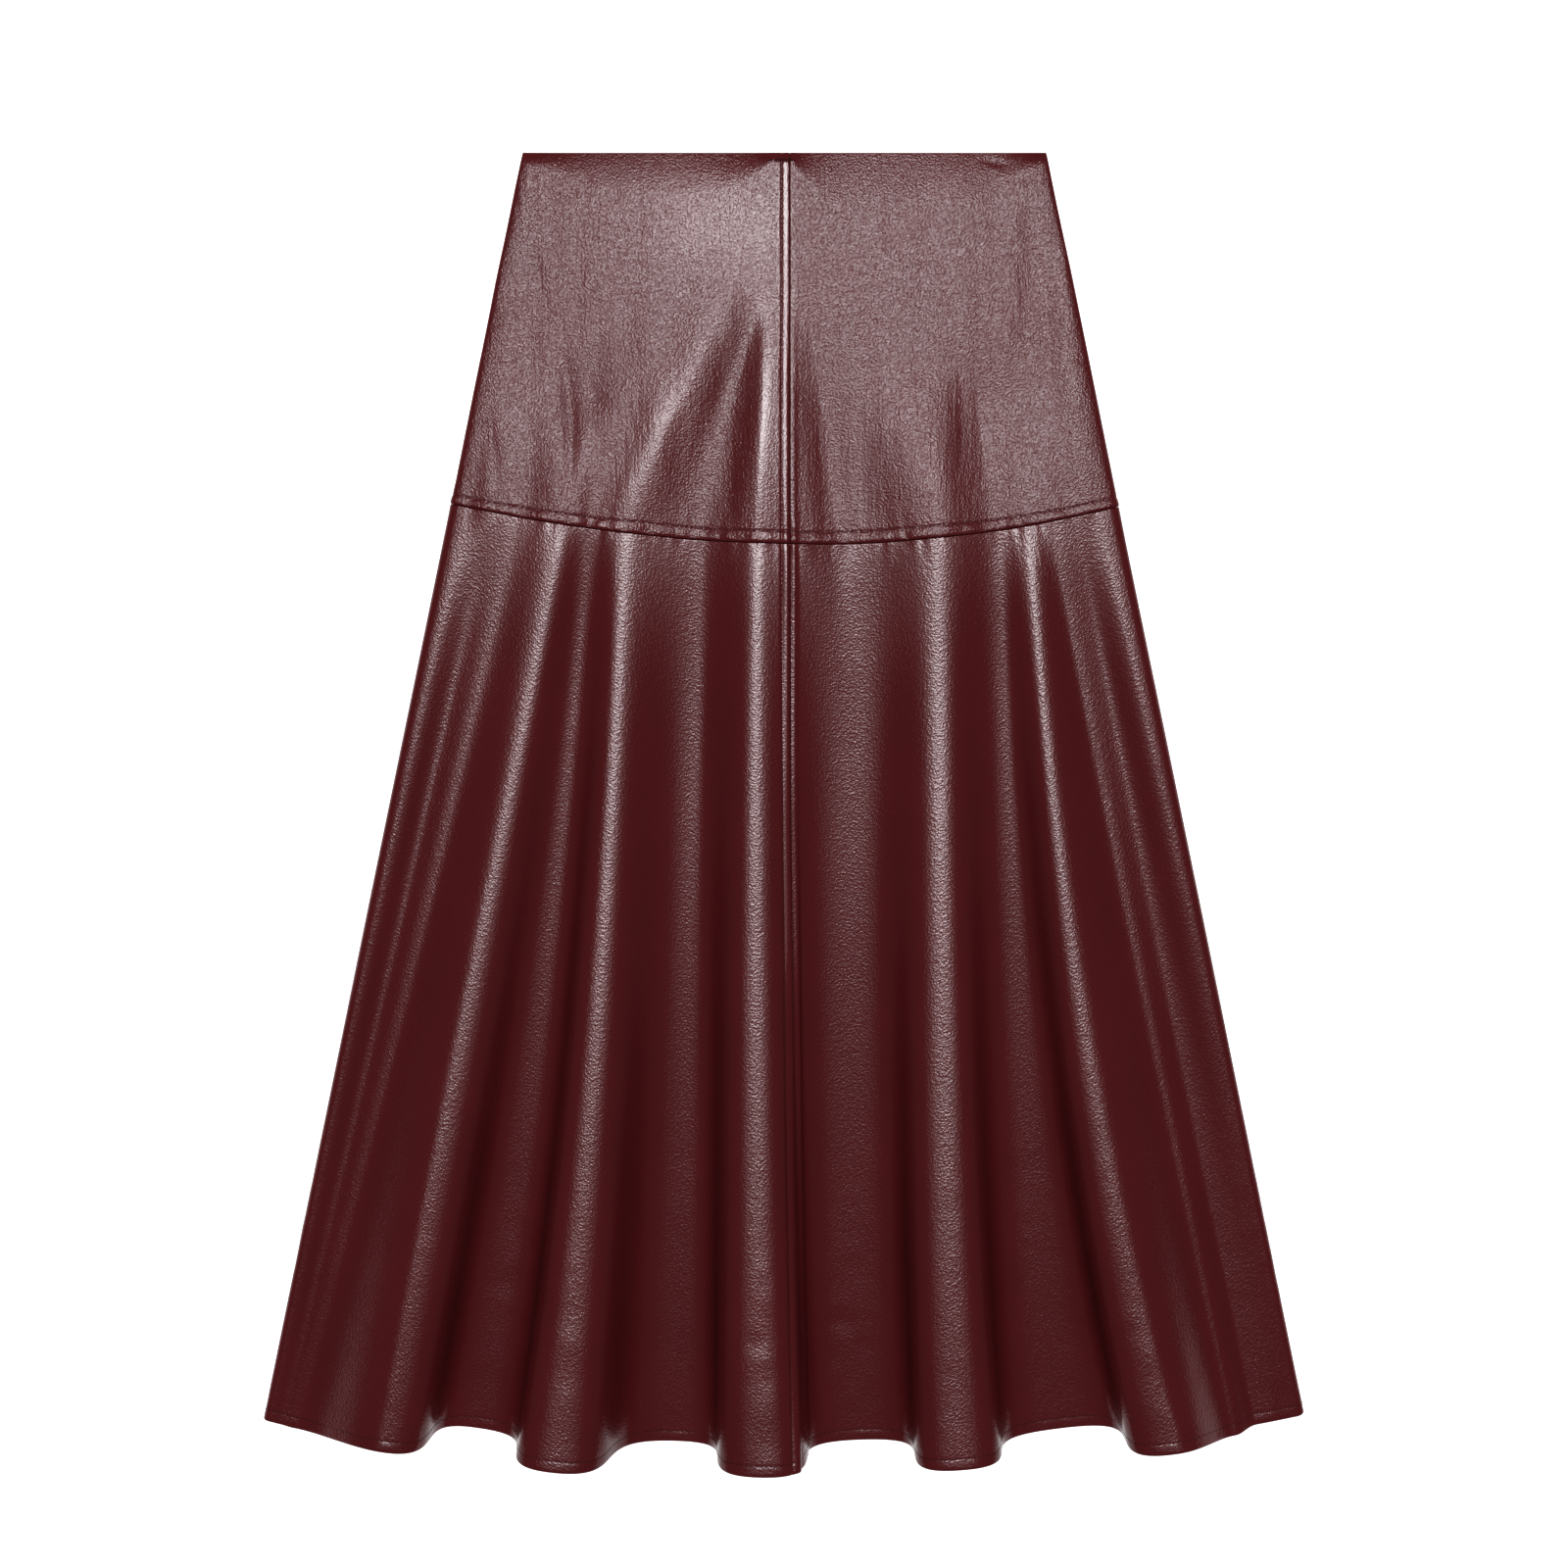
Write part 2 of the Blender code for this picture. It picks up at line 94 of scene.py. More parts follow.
# Ridges and valleys from left to right: places across (-1 to 1) at the yoke seam, half way down and at the
# hem, rises there in millimetres, a lift (mm) that dies out soon below the seam, how square the cloth turns
# on either side at the seam and at the hem, how far the hem is drawn in (mm), and in the yoke how far the
# root leans towards the middle and the share of the yoke that it reaches up.
Fold = namedtuple("Fold", "name seam middle hem riseSeam riseMiddle riseHem lift"
                          " leftSeam rightSeam leftHem rightHem hemIn lean reach")
frontFolds = (
    Fold("left shoulder", -0.950, -0.978, -0.987, 7.3, 10.0, 9.0, 0.0, 0.8, 0.3, 0.7, 0.4, -0.5, 0.0, 0.45),
    Fold("left dip", -0.877, -0.925, -0.966, 4.8, 5.8, 8.2, 3.6, 0.30, 0.25, 0.35, 0.35, -1.0, 0.0, 0.4),
    Fold("left ripple", -0.800, -0.870, -0.940, 6.6, 8.6, 9.0, 1.8, 0.33, 0.33, 0.45, 0.30, -1.5, 0.0, 0.4),
    Fold("fold A", -0.657, -0.722, -0.752, 8.0, 23.8, 47.0, 2.3, 0.4, 0.33, 0.33, 0.85, 2.0, 0.03, 0.35),
    Fold("valley AB", -0.575, -0.558, -0.600, 4.0, 3.3, 4.3, 4.0, 0.35, 0.35, 0.8, 1.0, 15.5, 0.24, 0.70),
    Fold("fold B", -0.468, -0.425, -0.420, 9.0, 26.2, 53.0, 1.0, 0.4, 0.20, 0.9, 0.65, 3.5, 0.34, 0.72),
    Fold("valley BC", -0.243, -0.219, -0.200, 2.2, 2.0, 4.3, 2.7, 0.32, 0.22, 0.85, 0.9, 17.5, 0.20, 0.54),
    Fold("fold C", -0.079, -0.067, -0.037, 10.4, 27.2, 54.0, 0.6, 0.25, 0.13, 1.0, 0.78, 7.0, 0.037, 0.61),
    Fold("valley CD", 0.222, 0.158, 0.149, 2.2, 2.0, 4.3, 3.2, 0.46, 0.30, 1.05, 1.05, 19.0, -0.125, 0.76),
    Fold("fold D", 0.453, 0.366, 0.323, 8.2, 25.8, 52.0, 2.6, 0.22, 0.32, 0.9, 0.75, 7.5, -0.03, 0.45),
    Fold("valley DE", 0.632, 0.548, 0.543, 3.4, 2.6, 4.3, 3.4, 0.28, 0.28, 1.05, 1.0, 17.5, 0.0, 0.35),
    Fold("fold E", 0.722, 0.675, 0.735, 7.6, 23.5, 47.5, 0.6, 0.33, 0.36, 0.9, 0.42, 2.0, 0.0, 0.35),
    Fold("foot of fold E", 0.790, 0.828, 0.858, 5.0, 8.0, 19.5, 2.6, 0.28, 0.3, 0.30, 0.30, 1.0, 0.0, 0.35),
    Fold("right ripple", 0.864, 0.886, 0.903, 3.6, 4.8, 11.6, 3.4, 0.20, 0.20, 0.35, 0.6, 3.5, 0.0, 0.4),
    Fold("right shoulder", 0.942, 0.975, 0.985, 7.4, 9.5, 9.0, 0.0, 0.33, 0.8, 0.4, 0.7, 3.0, 0.0, 0.45),
)
backRest = 0.65  # the back's rows that rest on the table
rests = (backRest, backRest, backRest)
restPulls, swellPulls = (0.5, 0.5, 0.9, 0.9), (0.5, 0.5, 0.45, 0.45)
backFolds = (
    Fold("left rest", -0.930, -0.930, -0.930, *rests, 0.0, 0.5, 0.5, 0.5, 0.6, 3.0, 0.0, 0.6),
    Fold("swell A", -0.780, -0.775, -0.765, 1.0, 4.5, 11.0, 0.0, *swellPulls, 15.0, 0.0, 0.6),
    Fold("rest AB", -0.590, -0.605, -0.615, *rests, 0.0, *restPulls, 20.0, 0.0, 0.6),
    Fold("swell B", -0.430, -0.395, -0.400, 1.2, 5.5, 13.0, 0.0, *swellPulls, 19.0, 0.0, 0.6),
    Fold("rest BC", -0.243, -0.224, -0.215, *rests, 0.0, *restPulls, 21.0, 0.0, 0.6),
    Fold("swell C", -0.040, -0.040, -0.035, 1.2, 5.5, 13.0, 0.0, *swellPulls, 20.0, 0.0, 0.6),
    Fold("rest CD", 0.203, 0.154, 0.149, *rests, 0.0, *restPulls, 22.0, 0.0, 0.6),
    Fold("swell D", 0.430, 0.385, 0.332, 1.2, 5.5, 13.0, 0.0, *swellPulls, 20.0, 0.0, 0.6),
    Fold("rest DE", 0.600, 0.540, 0.543, *rests, 0.0, *restPulls, 21.0, 0.0, 0.6),
    Fold("swell E", 0.720, 0.735, 0.755, 1.0, 4.5, 11.0, 0.0, *swellPulls, 14.0, 0.0, 0.6),
    Fold("right rest", 0.930, 0.930, 0.930, *rests, 0.0, 0.5, 0.5, 0.6, 0.5, 7.0, 0.0, 0.6),
)
centreFold = 1 + [fold.name for fold in frontFolds].index("fold C")


def between(first, second, share):
    return first + (second - first) * share


def smoothStep(share):
    share = np.clip(share, 0.0, 1.0)
    return share * share * (3 - 2 * share)


def throughThree(first, middle, last, share):
    bend = 2 * (first + last - 2 * middle)
    return first + (last - first - bend) * share + bend * share * share


def bezier(first, firstHandle, lastHandle, last, share):
    rest = 1 - share
    handles = 3 * firstHandle * rest**2 * share + 3 * lastHandle * rest * share**2
    return first * rest**3 + handles + last * share**3


def bell(distance, halfWidth):
    return np.exp(-((distance / halfWidth) ** 2))


# The cloth as a surface: place counts the rows of folds, along runs -1 waist, 0 yoke seam, 1 hem.
def yokeBase(fold, layer):
    if layer["side"] < 0:
        return backRest
    return 1000 * (skirt["shoulderHeight"] if "shoulder" in fold.name else skirt["yokeHeight"])


def rowAt(layer, index, along):
    folds = layer["folds"]
    if index in (0, len(folds) + 1):
        side = -1.0 if index == 0 else 1.0
        hemIn = 0.0 if side < 0 else skirt["rightCornerIn"]
        return side, layer["edgeHeight"], skirt["edgePull"], skirt["edgePull"], hemIn
    fold = folds[index - 1]
    below, above = np.maximum(along, 0.0), np.maximum(-along, 0.0)
    across = throughThree(fold.seam, fold.middle, fold.hem, below)
    across = across + fold.lean * np.minimum(above / drape["leanReach"], 1.0) ** drape["leanCurve"]
    root = np.clip(1 - (above / fold.reach) ** 2, 0, 1) ** drape["rootCurve"]
    base = yokeBase(fold, layer)
    rise = np.where(along >= 0, throughThree(fold.riseSeam, fold.riseMiddle, fold.riseHem, below),
                    base + (fold.riseSeam - base) * root)
    fading = np.exp(-((below / drape["liftReach"]) ** drape["liftCurve"]))
    rise = rise + fold.lift * np.where(along >= 0, fading, root)
    pullLeft = between(fold.leftSeam, fold.leftHem, below ** drape["pullCurve"])
    pullRight = between(fold.rightSeam, fold.rightHem, below ** drape["pullCurve"])
    return across, rise / 1000, pullLeft, pullRight, fold.hemIn / 1000


def sectionAt(layer, place, along):
    last = len(layer["folds"]) + 1
    indices = np.clip(np.floor(place), 0, last - 1).astype(int)
    across, height, hemIn = np.zeros(place.shape), np.zeros(place.shape), np.zeros(place.shape)
    for index in np.unique(indices):
        here = indices == index
        share, level = place[here] - index, along[here]
        left, right = rowAt(layer, index, level), rowAt(layer, index + 1, level)
        gap = right[0] - left[0]
        leftAcross, rightAcross = left[0] + gap * left[3], right[0] - gap * right[2]
        leftHeight, rightHeight = left[1], right[1]
        if index == 0:
            leftAcross, leftHeight = left[0], between(left[1], right[1], skirt["edgePull"])
        if index == last - 1:
            rightAcross, rightHeight = right[0], between(right[1], left[1], skirt["edgePull"])
        across[here] = bezier(left[0], leftAcross, rightAcross, right[0], share)
        height[here] = bezier(left[1], leftHeight, rightHeight, right[1], share)
        hemIn[here] = between(left[4], right[4], smoothStep(share))
    return across, height, hemIn


# The front's edge rolls down at the waist, over a band of uneven width.
waistRoll = {
    "places": (-1.0, -0.90, -0.75, -0.37, -0.15, -0.05, 0.03, 0.08, 0.19, 0.37, 0.75, 0.90, 1.0),
    "widths": (0.008, 0.0125, 0.023, 0.030, 0.020, 0.006, 0.006, 0.018, 0.034, 0.041, 0.032, 0.015, 0.008),
}


def seamRadiusAt(across):
    # the yoke seam hangs a little off its true arc
    bow = skirt["seamDrop"] * (1 - across**2) + skirt["seamLean"] * across * (1 - np.abs(across))
    return seamRadius + bow + skirt["seamLow"] + skirt["seamTilt"] * across


def middlePoint(layer, place, along):
    across, height, hemIn = sectionAt(layer, place, along)
    seam = seamRadiusAt(across)
    waist = (apexY - waistY) * np.hypot(1, across * halfAngleTangent)
    onSkirt = between(seam, hemRadius - hemIn, along)
    inward = (1 + along) * yokeLength
    onYoke = between(waist + layer["waistIn"], seam, inward / yokeLength)
    radius = np.where(along >= 0, onSkirt, onYoke)
    if layer["side"] > 0:
        width = np.interp(across, waistRoll["places"], waistRoll["widths"])
        rolled = np.clip(1 - inward / width, 0, 1) ** drape["rollCurve"]
        edge = between(height, np.minimum(skirt["waistFloor"], height), rolled)
        height = np.where(along < 0, edge, height)
    slope = across * halfAngleTangent
    size = np.hypot(1, slope)
    edgeShare = 1 - skirt["outerSide"] / (radius * halfAngleSine)
    return np.stack([radius * slope / size * edgeShare, apexY - radius / size, height], axis=-1)


def directionsAt(layer, place, along):
    probe, last = 0.002, len(layer["folds"]) + 1
    low, high = np.maximum(place - probe, 0.0), np.minimum(place + probe, last - probe / 100)
    near, far = np.maximum(along - probe, -1.0), np.minimum(along + probe, 1.0)
    stepAcross = middlePoint(layer, high, along) - middlePoint(layer, low, along)
    stepAlong = middlePoint(layer, place, far) - middlePoint(layer, place, near)
    normal = np.cross(stepAlong, stepAcross)
    unit = [step / np.linalg.norm(step, axis=-1, keepdims=True) for step in (normal, stepAcross, stepAlong)]
    return unit[0] * layer["side"], unit[1], unit[2]


halfGap = skirt["seamGap"] / 2
front = {"folds": frontFolds, "side": 1, "edgeHeight": skirt["sideSeamHeight"] + halfGap,
         "waistIn": -skirt["frontWaistOut"]}
back = {"folds": backFolds, "side": -1, "edgeHeight": skirt["sideSeamHeight"] - halfGap,
        "waistIn": skirt["backWaistIn"]}


def centreShift(along):
    return between(skirt["centreOffset"], skirt["centreHemOffset"], np.maximum(along, 0.0) ** 2)


def centreDistance(across, along):
    past = np.where(along > 0, skirtLength, yokeLength)
    return across * (seamRadius + along * past) * halfAngleTangent - centreShift(along)


def centrePlaces(along, offsets):
    steps = np.linspace(centreFold - 1, centreFold + 1, 500)
    places = np.zeros((len(along), len(offsets)))
    for level, here in enumerate(along):
        across = sectionAt(front, steps, np.full(steps.shape, here))[0]
        places[level] = np.interp(offsets, centreDistance(across, here), steps)
    return places


# Relief: what the sewing and the handling do to the leather, as heights over its outer side.
def noiseField(seed, sizeAcross, sizeAlong, count=251):
    knots = np.random.default_rng(seed).normal(0, 1, (count, count))

    def weights(share):
        return ((1 - share) ** 3 / 6, (3 * share**3 - 6 * share**2 + 4) / 6,
                (-3 * share**3 + 3 * share**2 + 3 * share + 1) / 6, share**3 / 6)

    def value(across, along):
        u, v = across / sizeAcross + 97.3, along / sizeAlong + 61.7
        column, level = np.floor(u).astype(int), np.floor(v).astype(int)
        total = 0
        for stepAcross, first in enumerate(weights(u - column)):
            for stepAlong, second in enumerate(weights(v - level)):
                knot = knots[(column + stepAcross) % count, (level + stepAlong) % count]
                total = total + first * second * knot
        return total

    return value


pucker = noiseField(11, 0.0030, 0.020)
puckerStrength = noiseField(12, 0.030, 0.030)
crinkle = noiseField(21, 0.0065, 0.050)
crinkleStrength = noiseField(22, 0.060, 0.080)
ripple = noiseField(31, 0.017, 0.110)
crumple = noiseField(41, 0.0110, 0.0075)
crumpleStrength = noiseField(42, 0.020, 0.045)

# Lengths and heights in metres; places are distances from a seam, shapes the share of the height at each.
relief = {
    "centreBand": 0.0053,  # the topstitching lies this far from the centre seam
    "weltPlaces": (0.00015, 0.0014, 0.0020, 0.0028, 0.0036, 0.0043, 0.0048, 0.0053),
    "weltShape": (0.30, 0.92, 1.0, 0.84, 0.56, 0.29, 0.12, 0.0),
    "shoulderPlaces": (0.00015, 0.0011, 0.0016, 0.0022, 0.0029, 0.0038, 0.0050),
    "shoulderShape": (0.0, 0.35, 0.62, 0.88, 1.0, 0.75, 0.0),
    "centreGroove": 0.00022,
    "grooveWidth": 0.0006,
    "centreSwell": 0.00008,
    "centreSwellPlace": 0.0020,
    "centreSwellWidth": 0.0013,
    "seamPlaces": (-0.65, -0.12, 0.05, 0.30, 0.44, 1.0),
    "weltRise": (0.00014, 0.00050, 0.00085, 0.00105, 0.0020, 0.0020),
    "shoulderRise": (0.00010, 0.00036, 0.00065, 0.00082, 0.0016, 0.0016),
    "yokeBand": 0.0070,  # from the yoke seam up to its topstitching, narrower near the sides
    "bandNarrowing": 0.0009,
    "narrowFrom": 0.45,
    "narrowOver": 0.4,
    "bandPlaces": (0.0, 0.06, 0.2, 0.36, 0.5, 0.7, 0.9, 1.0),
    "bandShape": (0.25, 0.6, 0.93, 1.0, 0.86, 0.5, 0.12, 0.0),
    "yokePuff": 0.00040,
    "yokeGroove": 0.00016,
    "puckers": 0.00062,
    "puckersPast": 0.35,  # share of the puckers that runs on above the band
    "puckersPastPlace": 0.002,
    "puckersPastWidth": 0.005,
    "gathers": 0.45,  # and below the seam
    "gatherReach": 0.007,
    "hemPuff": 0.00005,
    "hemGroove": 0.00007,
    "hemPuckers": 0.00014,
    "yokeCrinkle": 0.00029,
    "yokeCalm": (0.02, 0.03),  # the crinkle fades in over these lengths from the yoke seam and the waist
    "crinkleLimits": (0.2, 1.6),
    "tautCalm": 0.6,
    "skirtRipple": 0.00018,
    "rippleCalm": 0.03,
    "hemCrumple": 0.00012,
    "crumpleFrom": 0.55,
    "crumpleOver": 0.30,
    "crumpleCalm": 0.02,
    "creaseFade": 1.6,
}

# Creases: from, to, how far they bow to the left of that way and half width in metres, height in millimetres.
Crease = namedtuple("Crease", "x1 y1 x2 y2 bow width height")
creases = (
    Crease(-0.144, 0.315, -0.139, 0.160, 0.006, 0.0045, -1.00),
    Crease(-0.160, 0.372, -0.147, 0.300, -0.002, 0.0035, -0.30),
    Crease(-0.012, 0.330, -0.064, 0.185, -0.003, 0.0080, -0.60),
    Crease(-0.020, 0.280, -0.033, 0.180, -0.002, 0.0060, -0.34),
    Crease(0.011, 0.360, 0.044, 0.085, 0.000, 0.0125, -1.90),
    Crease(0.031, 0.360, 0.068, 0.085, 0.000, 0.0170, -0.75),
    Crease(-0.172, 0.385, -0.188, 0.140, 0.000, 0.0120, 0.50),
    Crease(0.174, 0.385, 0.192, 0.140, 0.000, 0.0130, 0.60),
    Crease(0.130, 0.315, 0.134, 0.130, 0.001, 0.0230, -1.60),
    Crease(-0.187, 0.250, -0.181, 0.184, 0.001, 0.0040, -0.40),
    Crease(0.112, 0.300, 0.110, 0.190, 0.002, 0.0035, -0.22),
    Crease(0.124, 0.285, 0.129, 0.195, -0.002, 0.0030, -0.25),
    Crease(0.137, 0.270, 0.140, 0.190, 0.002, 0.0035, -0.18),
    Crease(-0.185, 0.300, -0.172, 0.215, 0.002, 0.0040, -0.20),
    Crease(0.120, 0.411, 0.147, 0.406, 0.001, 0.0022, -0.45),
    Crease(-0.021, -0.322, -0.008, -0.345, -0.004, 0.0030, -0.50),
    Crease(-0.018, -0.330, -0.012, -0.350, 0.002, 0.0022, 0.35),
)


def creaseHeight(x, y):
    total = np.zeros(x.shape)
    for crease in creases:
        run, rise = crease.x2 - crease.x1, crease.y2 - crease.y1
        length = math.hypot(run, rise)
        share = ((x - crease.x1) * run + (y - crease.y1) * rise) / length**2
        aside = ((y - crease.y1) * run - (x - crease.x1) * rise) / length
        aside = aside - crease.bow * np.sin(math.pi * np.clip(share, 0, 1))
        fade = np.sin(math.pi * np.clip(share, 0, 1)) ** relief["creaseFade"]
        total = total + crease.height / 1000 * fade * bell(aside, crease.width)
    return total


# Where the leather is pulled tight and shines: middle and half size both ways, slant and how tight (0 to 1).
TautPatch = namedtuple("TautPatch", "x y halfWidth halfLength slant tight")
tautPatches = (
    TautPatch(-0.0957, 0.225, 0.013, 0.075, 0.49, 0.6),  # root of fold B
    TautPatch(-0.0125, 0.235, 0.006, 0.085, 0.0, 1.0),  # root of fold C
    TautPatch(0.099, 0.215, 0.007, 0.030, 0.0, 0.3),  # root of fold D
)
tautSlantFrom = 0.2076
tautWaist = TautPatch(-0.040, 0.372, 0.050, 0.042, 0.0, 0.42)  # left of the centre seam, and only there
tautWaistEnd = 0.003
tautSeam = {"x": 0.0005, "halfWidth": 0.0042, "tight": 0.8}


def patchTautness(patch, x, y):
    aside = x - patch.x - patch.slant * (y - tautSlantFrom)
    return patch.tight * bell(aside, patch.halfWidth) * bell(y - patch.y, patch.halfLength)


def tautness(x, y):
    total = patchTautness(tautWaist, x, y) * (x < tautWaistEnd)
    for patch in tautPatches:
        total = total + patchTautness(patch, x, y)
    return np.clip(total + tautSeam["tight"] * bell(x - tautSeam["x"], tautSeam["halfWidth"]), 0, 1)


def bandWidth(across):
    narrowing = smoothStep((np.abs(across) - relief["narrowFrom"]) / relief["narrowOver"])
    return relief["yokeBand"] - relief["bandNarrowing"] * narrowing


def centreSeamRelief(distance, along, half):
    # the pressed and stitched allowance stands up on the left, the right half rounds into the seam
    if half > 0:
        shoulder = np.interp(along, relief["seamPlaces"], relief["shoulderRise"])
        return shoulder * np.interp(distance, relief["shoulderPlaces"], relief["shoulderShape"])
    puff = np.interp(along, relief["seamPlaces"], relief["weltRise"])
    past = distance - relief["centreBand"]
    swell = bell(past - relief["centreSwellPlace"], relief["centreSwellWidth"])
    total = puff * np.interp(distance, relief["weltPlaces"], relief["weltShape"])
    return total - relief["centreGroove"] * bell(past, relief["grooveWidth"]) + relief["centreSwell"] * swell


def yokeSeamRelief(across, along, arc, up, down):
    # a puffed, puckered band above the yoke seam, and small gathers that die out below it
    above, band = along < 0, bandWidth(across)
    strength = 0.55 + 0.45 * np.clip(puckerStrength(arc, 0 * arc), -1, 1.4)
    wave = pucker(arc, up) * strength
    arch = np.interp(np.clip(up / band, 0, 1), relief["bandPlaces"], relief["bandShape"])
    past = bell(up - band - relief["puckersPastPlace"], relief["puckersPastWidth"])
    total = above * (relief["yokePuff"] + relief["puckers"] * wave) * arch
    total = total - above * relief["yokeGroove"] * bell(up - band, relief["grooveWidth"])
    total = total + above * relief["puckers"] * relief["puckersPast"] * wave * past
    gathers = pucker(arc + 0.3, down) * np.exp(-down / relief["gatherReach"])
    return total + (along >= 0) * relief["puckers"] * relief["gathers"] * gathers


def hemRelief(along, arc, left):
    turnUp = skirt["hemTurnUp"]
    onHem = (along > 0) * np.sin(math.pi * np.clip(left / turnUp, 0, 1))
    total = onHem * (relief["hemPuff"] + relief["hemPuckers"] * pucker(arc * 1.6, left))
    return total - (along > 0) * relief["hemGroove"] * bell(left - turnUp, relief["grooveWidth"])


def wearRelief(along, x, y, arc, up, down, left):
    # fine crinkles on the yoke, long soft ripples on the flared panels, a little crumpling near the hem
    calm = smoothStep(up / relief["yokeCalm"][0]) * smoothStep((yokeLength - up) / relief["yokeCalm"][1])
    strength = np.clip(0.75 + 0.5 * crinkleStrength(x, y), *relief["crinkleLimits"])
    strength = strength * (1 - relief["tautCalm"] * tautness(x, y))
    total = (along < 0) * relief["yokeCrinkle"] * crinkle(x, y) * calm * strength
    calm = smoothStep(down / relief["rippleCalm"]) * smoothStep(left / relief["rippleCalm"])
    total = total + (along > 0) * relief["skirtRipple"] * ripple(arc, down) * calm
    strength = smoothStep((along - relief["crumpleFrom"]) / relief["crumpleOver"])
    strength = strength * np.clip(0.6 + crumpleStrength(x, y), 0, 2)
    strength = strength * smoothStep(left / relief["crumpleCalm"])
    return total + relief["hemCrumple"] * crumple(x, y) * strength


def frontRelief(across, along, x, y, half):
    distance = centreDistance(across, along) * half  # from the centre seam into this half
    arc = across * seamRadius * halfAngleTangent
    up, down = np.maximum(-along, 0.0) * yokeLength, np.maximum(along, 0.0) * skirtLength
    left = (1 - along) * skirtLength
    total = creaseHeight(x, y) + centreSeamRelief(distance, along, half)
    total = total + yokeSeamRelief(across, along, arc, up, down) + hemRelief(along, arc, left)
    return total + wearRelief(along, x, y, arc, up, down, left)


backLook = {
    "groove": 0.00030,
    "yokeGrooveWidth": 0.0010,
    "hemGrooveWidth": 0.0009,
    "bandSink": 0.00012,
    "puckers": 0.00006,
    "crinkle": 0.00008,
}


def backRelief(across, along, x, y, half):
    arc = across * seamRadius * halfAngleTangent
    up, left = np.maximum(-along, 0.0) * yokeLength, (1 - along) * skirtLength
    inBand = np.clip(up / relief["yokeBand"], 0, 1)
    groove = bell(up - relief["yokeBand"], backLook["yokeGrooveWidth"]) * (along < 0)
    groove = groove + bell(left - skirt["hemTurnUp"], backLook["hemGrooveWidth"]) * (along > 0)
    sink = (along < 0) * backLook["bandSink"] * (1 - np.sin(math.pi * inBand)) * (inBand < 1)
    wave = np.minimum(pucker(arc + 0.7, up + 0.5), 0)
    worn = backLook["crinkle"] * (1 + crinkle(x + 0.4, y)) * (along < 0)
    return backLook["puckers"] * wave - backLook["groove"] * groove - sink - worn


# The grid of each sheet: columns are places across the folds, levels run along the length. In millimetres.
grid = {
    "edgePoints": 3,  # steps of each edge that turns down into a seam
    "weltOffsets": (17, 13.5, 11, 9.2, 7.9, 7.0, 6.4, 5.9, 5.5, 5.2, 4.8, 4.3, 3.6, 2.8, 2.0, 1.4),
    "shoulderOffsets": (1.1, 1.6, 2.2, 2.9, 3.8, 5.0, 6.5),
    "leftRun": 62.0,  # from the nearest row of folds to the centre seam, in the skirt's left and right half
    "rightRun": 50.0,
    "yokeRun": 30.0,
    "frontSkip": 0.04,  # columns this near the side seam give way to the turned-down edge
    "backSkip": 0.05,
    "belowSeam": (1.0, 1.5, 2.2, 3.1, 4.3, 5.8),
    "aboveHem": (12.5, 10.6, 9.2, 8.3, 7.7, 7.2, 6.8, 6.3, 5.6, 4.6, 3.5, 2.4),
    "hemStart": 14.5,
    "belowWaist": (1.2, 2.0, 3.0, 4.2, 5.6, 7.0, 8.6, 10.3, 12.2, 14.4),
    "aboveSeam": (10.5, 9.4, 8.5, 7.9, 7.5, 7.1, 6.8, 6.5, 6.2, 5.8, 5.2, 4.5, 3.7, 2.9, 2.0, 1.4),
    "bandStart": 12.3,
    "hemInside": (0.8, 2.5, 4.5, 6.0),  # how far the turned-in leather goes on past the fold
    "waistInside": (1.0, 3.0, 6.0),
}


def metres(values):
    return np.array(values) / 1000


def spansBetween(layer, first, last, along, spacing):
    places = []
    for index in range(int(first), int(last)):
        fine = np.linspace(index, index + 1, 60)
        points = middlePoint(layer, fine, np.full(fine.shape, along))
        length = np.linalg.norm(np.diff(points, axis=0), axis=1).sum()
        count = max(3, round(length / spacing))
        places.extend(np.linspace(index, index + 1, count, endpoint=False))
    return np.array(places)


def tuckSteps(radius, degrees, count, beyond=()):
    # an edge that turns in: how far out of the sheet's edge and how far inwards each step lies
    out = [radius * (math.sin(math.radians(degrees * step / count)) - 1) for step in range(1, count + 1)]
    down = [radius * (1 - math.cos(math.radians(degrees * step / count))) for step in range(1, count + 1)]
    out = [-radius] + out + [-radius - length for length in beyond]
    return out, [0.0] + down + [2 * radius] * len(beyond)


def seamEdge():
    # the steps at the end of a sheet that turns into a seam, and the same for its start
    out, down = tuckSteps(skirt["seamTuck"], 90, grid["edgePoints"])
    return (out, down), ([-value for value in out[::-1]], down[::-1])


def sideColumns(layer, body, atRight):
    # the body's columns with the tuck into the side seam at one end
    atEnd, atStart = seamEdge()
    flat, edgeCount = [0.0] * len(body), len(atEnd[0])
    if atRight:
        side = np.full(edgeCount, len(layer["folds"]) + 1.0)
        return np.concatenate([body, side]), flat + atEnd[0], flat + atEnd[1]
    return np.concatenate([np.zeros(edgeCount), body]), atStart[0] + flat, atStart[1] + flat


